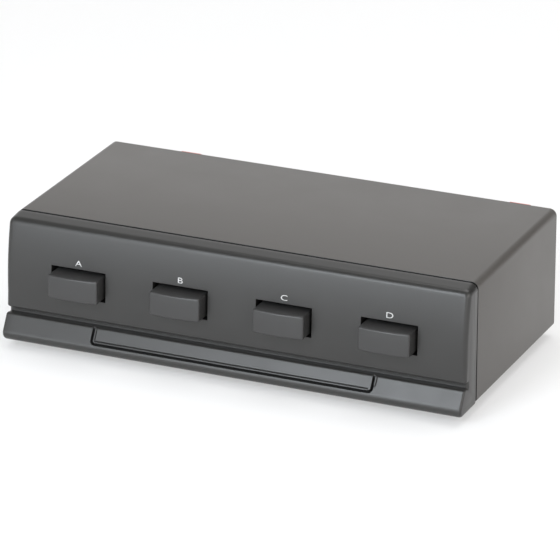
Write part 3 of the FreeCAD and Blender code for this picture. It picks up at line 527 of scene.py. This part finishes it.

# %% [markdown]
# Behind the face a thin lip slips inside the cover, and four barbed tabs reach through the
# tray. The lip is a folded strip, the tabs are plain extrusions, and both are there so that the
# moulding is complete when taken off. The points of the grid know how deep they sink, and the
# mesh keeps that as an attribute, by which its finish paints shade into the groove and the
# crease. The lip gets the same painted shade, so that the seam shows as a dark line.

# %% Lip and tabs, then the whole moulding
LIP_HALF, LIP_TOP, LIP_WALL, LIP_LENGTH, LIP_BOTTOM = HALF_WIDTH - 1.3, TOP - 1.3, 1.5, 3.0, 23.0
TAB_ROOT, TAB_END, TAB_CATCH, TAB_LOW, TAB_HIGH, TAB_BARB = -14.0, 3.15, 1.55, 9.0, 11.0, 0.8
TAB_HALF, TAB_PITCH, TAB_COUNT = 6.0, 52.0, 4
lip_path = rounded_loop(
    [(LIP_HALF, LIP_BOTTOM), (LIP_HALF, LIP_TOP), (-LIP_HALF, LIP_TOP), (-LIP_HALF, LIP_BOTTOM)],
    [0, 2.0, 2.0, 0], 6, closed=False)
lip_points, lip_faces = folded_sheet(lip_path, LIP_WALL, -LIP_LENGTH, WALL)
lip_points = np.stack([lip_points[:, 0], SEAM - lip_points[:, 2], lip_points[:, 1]], 1)
parts = [(np.concatenate(points), faces), (lip_points, lip_faces)]
tab_loop = rounded_loop(
    [(TAB_ROOT, TAB_LOW), (TAB_END, TAB_LOW), (TAB_END, TAB_HIGH),
     (TAB_CATCH, TAB_HIGH + TAB_BARB), (TAB_CATCH, TAB_HIGH), (TAB_ROOT, TAB_HIGH)],
    [0.3, 0.3, 0.3, 0.3, 0.1, 0.3], 4)
for place in range(TAB_COUNT):
    tab_points, tab_faces = prism(tab_loop, -TAB_HALF, TAB_HALF, 0.2)
    tab_middle = (place - (TAB_COUNT - 1) / 2) * TAB_PITCH
    tab_points = np.stack([tab_points[:, 2] + tab_middle, tab_points[:, 0] + SEAM,
                           tab_points[:, 1]], 1)
    parts.append((tab_points, tab_faces))
front = piece("front_moulding", *joined(parts), "case", "panel_plastic", smooth_below=35)
# This attribute marks where the finish paints shade: the whole lip, and the grid points deep in
# the groove and the crease.
painted_recess_shade = np.zeros(len(front.data.vertices))
shell_size = sum(len(p) for p in points)
painted_recess_shade[shell_size:shell_size + len(lip_points)] = 1
ends = (END_COLUMNS, END_COLUMNS)
painted_recess_shade[:shift] = np.pad(np.clip(1.6 * sink / GROOVE_DEPTH, 0, 1), ((0, 0), ends)).ravel()
front.data.attributes.new("painted_recess_shade", "FLOAT", "POINT").data.foreach_set("value", painted_recess_shade)
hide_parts("front_panel")
print("front moulding:", len(front.data.polygons), "faces")

# %% [markdown]
# ## Button caps
# Each cap is a block whose front bows out a little from side to side. It could be a box with
# its corners bevelled, but the bow is easier as a plan: the cap seen from above is drawn once,
# then carried upwards with both rims rounded, so the top front edge catches a thin line of
# light. The front leans back a little, and the cap hangs a little low in its window.

# %% Make the four caps
CAP_HALF_WIDTH, CAP_HALF_HEIGHT, CAP_REACH, CAP_BOW, CAP_BACK = 10.9, 4.9, 17.7, 0.95, 6.0
CAP_LEAN, CAP_DROP, CAP_CORNER, CAP_CORNER_ROUND, CAP_RIM = 0.3, 0.45, 1.0, 0.85, 0.75


def cap_plan():
    """The cap from above: an arc across the front, straight sides, a flat back."""
    radius = (CAP_HALF_WIDTH ** 2 + CAP_BOW ** 2) / (2 * CAP_BOW)
    spread = np.linspace(-CAP_HALF_WIDTH + CAP_CORNER, CAP_HALF_WIDTH - CAP_CORNER, 33)
    depth = -CAP_REACH + (radius - CAP_BOW) - np.sqrt(radius ** 2 - spread ** 2)
    left = corner_arc((-CAP_HALF_WIDTH, -8), (-CAP_HALF_WIDTH, -CAP_REACH),
                      (spread[0], depth[0]), CAP_CORNER_ROUND, 6)
    arc = np.stack([spread, depth], 1)
    right = left[::-1] * [-1, 1]
    sides = np.linspace((CAP_HALF_WIDTH, right[-1][1] + 1), (CAP_HALF_WIDTH, -CAP_BACK), 5)
    return np.concatenate([left, arc, right, sides, sides[::-1] * [-1, 1]])


for letter in BUTTONS:
    shell_points, shell_faces = prism(cap_plan(), -CAP_HALF_HEIGHT, CAP_HALF_HEIGHT, CAP_RIM, 7)
    lean = CAP_LEAN * (0.5 + shell_points[:, 2] / (2 * CAP_HALF_HEIGHT))
    shell_points[:, 1] += lean * (shell_points[:, 1] < -CAP_REACH + CAP_BOW + 1.5)
    shell_points = shell_points + [button_middle[letter], SEAM, BUTTON_LEVEL - CAP_DROP]
    cap = piece(f"cap_{letter}", shell_points, shell_faces, f"button_{letter}", "cap_plastic", 50)
    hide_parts(f"button_cap_{letter}")
print("four caps,", len(cap.data.polygons), "faces each")

# %% [markdown]
# ## The steel cover
# One sheet, folded: a hem under each side, the side, a bend, the top. The outside path is
# rounded at each bend, the inside is the same path moved in by the sheet's thickness, and the
# section runs from the seam to the rear with its cut edges just broken.

# %% Fold the cover
SHEET, HEM, HEM_BEND, COVER_BEND = 1.0, 10.0, 2.0, 3.0
cover_path = rounded_loop(
    [(HALF_WIDTH - HEM, UNDER), (HALF_WIDTH, UNDER), (HALF_WIDTH, TOP),
     (-HALF_WIDTH, TOP), (-HALF_WIDTH, UNDER), (HEM - HALF_WIDTH, UNDER)],
    [0, HEM_BEND, COVER_BEND, COVER_BEND, HEM_BEND, 0], 12, closed=False)
print("cover path points:", len(cover_path))
cover_points, cover_faces = folded_sheet(cover_path, SHEET, -REAR, -SEAM, edge=0.15)
cover_points = np.stack([cover_points[:, 0], -cover_points[:, 2], cover_points[:, 1]], 1)
cover = piece("cover_sheet", cover_points, cover_faces, "case", "cover_paint", 35)
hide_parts("top_cover")

# %% [markdown]
# ## Printed letters
# Only the letters over the buttons are printed. A text object becomes a mesh, is stretched
# sideways, and each of its points is laid on the bowed face. Solidify makes it a thin film of
# ink.

# %% Print the letters
LETTER_LEVEL, LETTER_HEIGHT, LETTER_STRETCH, INK = 40.05, 2.3, 1.4, 0.03


def printed_letter(letter, middle):
    """The letter's flat mesh, with its depth taken from the bowed face at each point's level."""
    curve = bpy.data.curves.new("letter", "FONT")
    curve.body = letter.upper()
    curve.align_x = "CENTER"
    curve.size = 1.0
    curve.resolution_u = 6
    text = bpy.data.objects.new("letter", curve)
    bpy.context.collection.objects.link(text)
    mesh = bpy.data.meshes.new_from_object(text)
    bpy.data.objects.remove(text)
    flat = np.empty(len(mesh.vertices) * 3)
    mesh.vertices.foreach_get("co", flat)
    flat = flat.reshape(-1, 3)
    low, high = flat.min(0), flat.max(0)
    scale = LETTER_HEIGHT / (high[1] - low[1])
    x = (flat[:, 0] - (high[0] + low[0]) / 2) * scale * LETTER_STRETCH + middle
    level = (flat[:, 1] - low[1]) * scale + LETTER_LEVEL - LETTER_HEIGHT / 2
    depth = face_depth(level) + SEAM - INK
    faces = [list(polygon.vertices) for polygon in mesh.polygons]
    return np.stack([x, depth, level], 1), faces


letters = piece("printed_letters", *joined([printed_letter(letter, middle)
                                            for letter, middle in button_middle.items()]),
                "case", "letter_ink")
film = letters.modifiers.new("ink film", "SOLIDIFY")
film.thickness, film.offset = 1.5 * INK * MM, -1
print("letters laid on the face")

# %% [markdown]
# ## Thumb levers
# A spring terminal opens when its lever is pressed down. The lever is a bent strip with a
# turned-up thumb pad, ribbed across so that it doesn't slip, and round axles at its root. Two
# of the upper levers stand a little open in their play, and just show over the cover.

# %% Make the twenty levers
LEVER_HALF, PIVOT_DEPTH, PIVOT_RISE, THICK, TIP = 4.6, 4.0, 3.0, 2.1, 7.5
AXLE_RADIUS, AXLE_HALF, RIB_DEPTH, RIB_COUNT = 1.17, 5.95, 0.28, 4
BLOCK_FACE, UPPER_ROW, LOWER_ROW = SEAM + 87.5, 44.0, 25.0
HIGH, HIGH_TILT, HIGH_RISE, RISE = {"lever_input_left_red", "lever_d_left_red"}, 6.0, 6.1, 6.0


def lever_profile(rise):
    """The lever from its side: rounded corners, and ribs as a sine on the thumb pad's face."""
    low, high = np.array([TIP - 0.5 * THICK + 0.1, 0.6]), np.array([TIP - 0.05, rise - 0.9])
    share, run = np.linspace(0, 1, 33)[:, None], high - low
    sideways = np.array([run[1], -run[0]]) / np.linalg.norm(run)
    wave = 0.5 - 0.5 * np.cos(share * 2 * RIB_COUNT * math.pi)
    ribs = low + share * run - sideways * RIB_DEPTH * wave
    corners = [(-0.8 * PIVOT_DEPTH, -1.5 * THICK), (-0.4 * PIVOT_DEPTH, -1.7 * THICK),
               (0.6, -0.8 * THICK), (TIP - 1.6 * THICK, -0.4 * THICK)]
    under = rounded_loop(corners + [(TIP - 0.5 * THICK, 0)], [0.3, 0.3, 1.0, 1.0, 0], 4,
                         closed=False)
    over = rounded_loop([(TIP, rise - 0.9), (TIP, rise - 0.1), (TIP - 0.6 * THICK, rise),
                         (TIP - 1.5 * THICK, THICK), (1.2, 0.9 * THICK), (-1.2, 0.8 * THICK),
                         (-0.8 * PIVOT_DEPTH, -1.5 * THICK)],
                        [0, 0.5, 0.5, 0.9, 0.4, 0.8, 0], 5, closed=False)
    return np.concatenate([under[:-1], ribs, over[1:-1]])


def lever_shape(tilt, rise):
    """Lever and axle about the pivot, turned by the tilt: (across, depth, level)."""
    turn = np.linspace(0, 2 * math.pi, 24, endpoint=False)
    pin = np.stack([np.cos(turn), np.sin(turn)], 1) * AXLE_RADIUS
    points, faces = joined([prism(lever_profile(rise), -LEVER_HALF, LEVER_HALF, 0.25, 3),
                            prism(pin, -AXLE_HALF, AXLE_HALF, 0.15, 2)])
    cosine, sine = math.cos(tilt), math.sin(tilt)
    depth = points[:, 0] * cosine - points[:, 1] * sine
    level = points[:, 0] * sine + points[:, 1] * cosine
    return np.stack([points[:, 2], depth, level], 1), faces


for node in sorted(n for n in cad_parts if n.startswith("lever_")):
    low, high = (np.array(corner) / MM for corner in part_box(node))
    tilt, rise = (math.radians(HIGH_TILT), HIGH_RISE) if node in HIGH else (0.0, RISE)
    points, faces = lever_shape(tilt, rise)
    red = node.endswith("red")
    level = (UPPER_ROW if red else LOWER_ROW) + PIVOT_RISE
    points = points + [(low[0] + high[0]) / 2, BLOCK_FACE - PIVOT_DEPTH, level]
    look = "lever_red" if red else "lever_black"
    lever = piece("thumb_" + node[6:], points, faces, node, look, 45)
    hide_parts(node)
print("twenty levers,", len(lever.data.polygons), "faces each")

# %% [markdown]
# ## Feet and screws
# Turned shapes are a profile spun about an axis. A foot is a rubber disc with a rounded rim
# and a dished underside. A pan-head screw is a dome, and its cross recess is a dent: every
# point of the dome that lies within the cross is pushed up into the head.

# %% Feet
def turned(profile, count, middle, dent=None):
    """Points of a profile (radius, level) spun about a vertical line, with closed poles."""
    angle = np.linspace(0, 2 * math.pi, count, endpoint=False)
    radius, level = profile[1:-1, 0], profile[1:-1, 1]
    x = middle[0] + radius[:, None] * np.cos(angle)[None]
    y = middle[1] + radius[:, None] * np.sin(angle)[None]
    z = np.broadcast_to(level[:, None], x.shape).copy()
    if dent is not None:
        z += dent(x - middle[0], y - middle[1], level[:, None])
    ring = np.stack([x, y, z], -1).reshape(-1, 3)
    first = [middle[0], middle[1], profile[0, 1] + (dent(0.0, 0.0, profile[0, 1]) if dent else 0)]
    last = [middle[0], middle[1], profile[-1, 1]]
    points = np.concatenate([ring, [first], [last]])
    faces = grid_quads(len(radius), count, wrap=True)[:, ::-1].tolist()
    around = np.arange(count)
    bottom = np.stack([np.full(count, len(ring)), np.roll(around, -1), around], -1)
    top = np.stack([np.full(count, len(ring) + 1), around, np.roll(around, -1)], -1)
    top[:, 1:] += (len(radius) - 1) * count
    return points, bottom.tolist() + faces + top.tolist()


FOOT_RADIUS, FOOT_TOP, FOOT_HALF_SPAN, FOOT_ROWS = 6.5, 4.88, 78.0, (14.0, 72.0)
foot_profile = np.array([
    (0, 0.5), (2.0, 0.5), (4.0, 0.45), (4.6, 0.15), (5.0, 0.0), (5.6, 0.0), (6.1, 0.12),
    (6.4, 0.45), (FOOT_RADIUS, 0.9), (FOOT_RADIUS, 3.0),
    (FOOT_RADIUS, FOOT_TOP), (3.0, FOOT_TOP), (0, FOOT_TOP)])
foot_parts = [turned(foot_profile, 64, (x, SEAM + y))
              for x in (-FOOT_HALF_SPAN, FOOT_HALF_SPAN) for y in FOOT_ROWS]
feet = piece("feet", *joined(foot_parts), "case", "foot_rubber", 45)
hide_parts("rubber_feet")

# %% Screws
HEAD_RADIUS, SHANK_RADIUS, HEAD_HEIGHT, SCREW_ROW, RECESS = 2.7, 1.45, 2.0, 52.0, 0.9


def cross_dent(x, y, level):
    """A cross recess: its full depth within either arm of the cross, on the domed side only."""
    arm, half = 1.5, 0.3
    on_arms = (np.abs(x) < arm) & (np.abs(y) < half) | (np.abs(y) < arm) & (np.abs(x) < half)
    return np.where(on_arms & (np.asarray(level) < UNDER - HEAD_HEIGHT + 0.8), RECESS, 0.0)


spread = np.linspace(0, HEAD_RADIUS - 0.05, 26)
dome = UNDER - HEAD_HEIGHT + 0.55 * (spread / HEAD_RADIUS) ** 2
screw_profile = np.concatenate([
    np.stack([spread, dome], 1),
    [(HEAD_RADIUS, dome[-1] + 0.25), (HEAD_RADIUS, UNDER - 0.1), (HEAD_RADIUS - 0.1, UNDER),
     (SHANK_RADIUS, UNDER), (SHANK_RADIUS, UNDER + 4.6), (1.0, UNDER + 5.0), (0, UNDER + 5.0)]])
hem_middle = HALF_WIDTH - SHEET - HEM / 2
screw_parts = [turned(screw_profile, 72, (side * hem_middle, SEAM + SCREW_ROW), cross_dent)
               for side in (-1, 1)]
screws = piece("cover_fasteners", *joined(screw_parts), "case", "screw_steel", 40)
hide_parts("cover_screws")
print("four feet and two screws")

# %% [markdown]
# ## Pieces that keep their solids
# Terminal housings, boards and switches are plain mouldings and sheets. Their solids already
# have the right shape, so a merged copy only gets its sharp edges broken by a small bevel. What
# stays wholly inside the case keeps its solid as it is, under its own finish.

# %% Break the edges of the terminal housings
def softened(node, look, width):
    """A merged copy of a node's mesh with flat faces made whole and its edges bevelled."""
    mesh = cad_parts[node].data.copy()
    work = bmesh.new()
    work.from_mesh(mesh)
    bmesh.ops.remove_doubles(work, verts=work.verts, dist=1e-6)
    bmesh.ops.dissolve_limit(work, angle_limit=math.radians(1), verts=work.verts, edges=work.edges)
    work.to_mesh(mesh)
    work.free()
    mesh.materials.clear()
    mesh.materials.append(FINISHES[look])
    mesh.polygons.foreach_set("use_smooth", np.ones(len(mesh.polygons), bool))
    mesh.set_sharp_from_angle(angle=math.radians(30))
    thing = bpy.data.objects.new(node + "_soft", mesh)
    bpy.context.collection.objects.link(thing)
    bevel = thing.modifiers.new("broken edges", "BEVEL")
    bevel.width, bevel.segments = width * MM, 2
    bevel.limit_method, bevel.angle_limit = "ANGLE", math.radians(40)
    bevel.harden_normals = True
    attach(thing, "case")
    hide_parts(node)


for block in ("input", *BUTTONS):
    softened(f"terminal_block_{block}", "block_plastic", 0.2)

# %% Finish the nodes that stay
LOOKS = {"chassis_tray": "tray_steel", "switch_board": "board_laminate",
         "terminal_board": "board_laminate", "board_posts": "support_nylon",
         "protection_resistors": "resistor_cement", "link_wires": "wire_jacket",
         "terminal_contacts": "contact_brass"}
LOOKS.update({f"switch_body_{letter}": "switch_plastic" for letter in BUTTONS})
LOOKS.update({f"plunger_{letter}": "plunger_plastic" for letter in BUTTONS})
for node, look in LOOKS.items():
    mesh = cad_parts[node].data
    mesh.materials.clear()
    mesh.materials.append(FINISHES[look])
print("finished", len(LOOKS), "nodes in place")

# %% [markdown]
# ## Floor, light and camera
# A wide pale floor and a white world make a plain studio. The floor and the world look white
# to the camera, but light the object only at a plain level. Paint and plastic also mirror what
# is round them, and a studio has dark places too: the ceiling, the far corner that the fold of
# the cover mirrors, and the left wall. There the world is dimmed, by direction, for mirrored
# rays alone, and the edges of the object are drawn by it.

# %% Floor
def combined(tree, operation, sockets):
    """One value from several: a Math node for each socket after the first."""
    result = sockets[0]
    for socket in sockets[1:]:
        step = tree.nodes.new("ShaderNodeMath")
        step.operation = operation
        tree.links.new(result, step.inputs[0])
        tree.links.new(socket, step.inputs[1])
        result = step.outputs[0]
    return result


def seen_white(tree, white_light, lit, out, share=1.0):
    """Mixes a share of plain white light into what camera, glossy and transmission rays see."""
    path = tree.nodes.new("ShaderNodeLightPath")
    kinds = [path.outputs[f"Is {kind} Ray"] for kind in ("Camera", "Glossy", "Transmission")]
    part = tree.nodes.new("ShaderNodeMath")
    part.operation = "MULTIPLY"
    part.inputs[1].default_value = share
    tree.links.new(combined(tree, "MAXIMUM", kinds), part.inputs[0])
    mix = tree.nodes.new("ShaderNodeMixShader")
    tree.links.new(part.outputs[0], mix.inputs["Fac"])
    tree.links.new(lit, mix.inputs[1])
    tree.links.new(white_light, mix.inputs[2])
    tree.links.new(mix.outputs[0], out)


floor_mesh = bpy.data.meshes.new("studio_floor")
FLOOR = 6
floor_corners = [(-FLOOR, -FLOOR, 0), (FLOOR, -FLOOR, 0), (FLOOR, FLOOR, 0), (-FLOOR, FLOOR, 0)]
floor_mesh.from_pydata(floor_corners, [], [(0, 1, 2, 3)])
floor = bpy.data.objects.new("studio_floor", floor_mesh)
bpy.context.collection.objects.link(floor)
floor_look = bpy.data.materials.new("studio_floor")
floor_look.use_nodes = True
floor_nodes = floor_look.node_tree.nodes
floor_paint, floor_glow = floor_nodes["Principled BSDF"], floor_nodes.new("ShaderNodeEmission")
floor_paint.inputs["Base Color"].default_value = (0.93, 0.93, 0.93, 1)
floor_paint.inputs["Roughness"].default_value = 0.9
seen_white(floor_look.node_tree, floor_glow.outputs[0], floor_paint.outputs[0],
           floor_nodes["Material Output"].inputs["Surface"], 0.4)
floor_mesh.materials.append(floor_look)

# %% World
world = bpy.data.worlds.new("studio")
bpy.context.scene.world = world
world.use_nodes = True
tree = world.node_tree
plain_light = tree.nodes["Background"]
plain_light.inputs["Color"].default_value = (1, 1, 1, 1)
plain_light.inputs["Strength"].default_value = 0.55
white = tree.nodes.new("ShaderNodeBackground")
white.inputs["Strength"].default_value = 1.0
toward = tree.nodes.new("ShaderNodeTexCoord")
# Each dark place is a direction, and the two cosines between which a ray near it turns dark.
CEILING = ((0, 0, 1), 0.62, 0.74)
FAR_CORNER = ((0.40, 0.80, 0.45), 0.80, 0.90)
LEFT_WALL = ((-1, 0, 0.1), 0.88, 0.97)
DARKEST = 0.08
shades = []
for axis, start, end in (CEILING, FAR_CORNER, LEFT_WALL):
    along, shade = tree.nodes.new("ShaderNodeVectorMath"), tree.nodes.new("ShaderNodeMapRange")
    along.operation, shade.interpolation_type = "DOT_PRODUCT", "SMOOTHSTEP"
    along.inputs[1].default_value = axis
    shade.inputs["From Min"].default_value, shade.inputs["From Max"].default_value = start, end
    shade.inputs["To Min"].default_value, shade.inputs["To Max"].default_value = 1.0, DARKEST
    tree.links.new(toward.outputs["Generated"], along.inputs[0])
    tree.links.new(along.outputs["Value"], shade.inputs["Value"])
    shades.append(shade.outputs["Result"])
dimmest = combined(tree, "MINIMUM", shades)
straight_rays = tree.nodes.new("ShaderNodeLightPath").outputs["Is Camera Ray"]
tree.links.new(combined(tree, "MAXIMUM", [straight_rays, dimmest]), white.inputs["Color"])
seen_white(tree, white.outputs[0], plain_light.outputs[0],
           tree.nodes["World Output"].inputs["Surface"])

# %% Lamps
def softbox(name, place, aim, size, power, colour=(1, 1, 1)):
    """A square area lamp that faces a point."""
    light = bpy.data.lights.new(name, "AREA")
    light.shape, light.size, light.energy, light.color = "SQUARE", size, power, colour
    lamp = bpy.data.objects.new(name, light)
    bpy.context.collection.objects.link(lamp)
    lamp.location = place
    lamp.rotation_euler = (Vector(aim) - Vector(place)).to_track_quat("-Z", "Y").to_euler()
    lamp.visible_camera = False


softbox("over", (0.1, 0.35, 1.3), (0, 0, 0.03), 1.0, 8.0)
softbox("right", (1.3, -0.5, 0.7), (0, 0, 0.03), 0.9, 5.5, (1.0, 0.95, 0.9))
softbox("face_glow", (-0.28, -0.68, 0.15), (0, 0, 0.04), 0.24, 0.8, (0.88, 0.94, 1.0))
softbox("cap_glow", (0.06, -0.70, 0.10), (0, 0, 0.03), 0.3, 1.1, (0.9, 0.95, 1.0))
softbox("chin_glow", (-0.17, -0.76, 0.50), (0, 0, 0.02), 0.34, 3.5, (0.88, 0.94, 1.0))
softbox("edge_glow", (0.62, -0.58, 0.14), (0.08, 0, 0.03), 0.24, 0.4)

# %% Camera
AZIMUTH, ELEVATION, DISTANCE = math.radians(23.667), math.radians(21.797), 1838.607 * MM
IMAGE, FOCAL, OFF_X, OFF_Y, SENSOR = 560.0, 4519.26, 9.13, 12.933, 36.0
AIM_BEHIND_SEAM, AIM_LEVEL = 45, 28.9
back = Vector((math.sin(AZIMUTH) * math.cos(ELEVATION), -math.cos(AZIMUTH) * math.cos(ELEVATION),
               math.sin(ELEVATION)))
right = Vector((math.cos(AZIMUTH), math.sin(AZIMUTH), 0))
up = back.cross(right)
middle = Vector((0, SEAM + AIM_BEHIND_SEAM, AIM_LEVEL)) * MM
aim = middle - (right * OFF_X + up * OFF_Y) * (DISTANCE / FOCAL)
lens = bpy.data.cameras.new("camera")
lens.sensor_width, lens.sensor_fit = SENSOR, "HORIZONTAL"
lens.lens = SENSOR * FOCAL / IMAGE
lens.clip_end = 50
camera = bpy.data.objects.new("camera", lens)
bpy.context.collection.objects.link(camera)
camera.location = middle + back * DISTANCE
camera.rotation_euler = (aim - camera.location).to_track_quat("-Z", "Y").to_euler()
bpy.context.scene.camera = camera
bpy.context.scene.view_settings.view_transform = "Standard"
print("camera lens", round(lens.lens, 2), "mm at", tuple(round(v, 3) for v in camera.location))
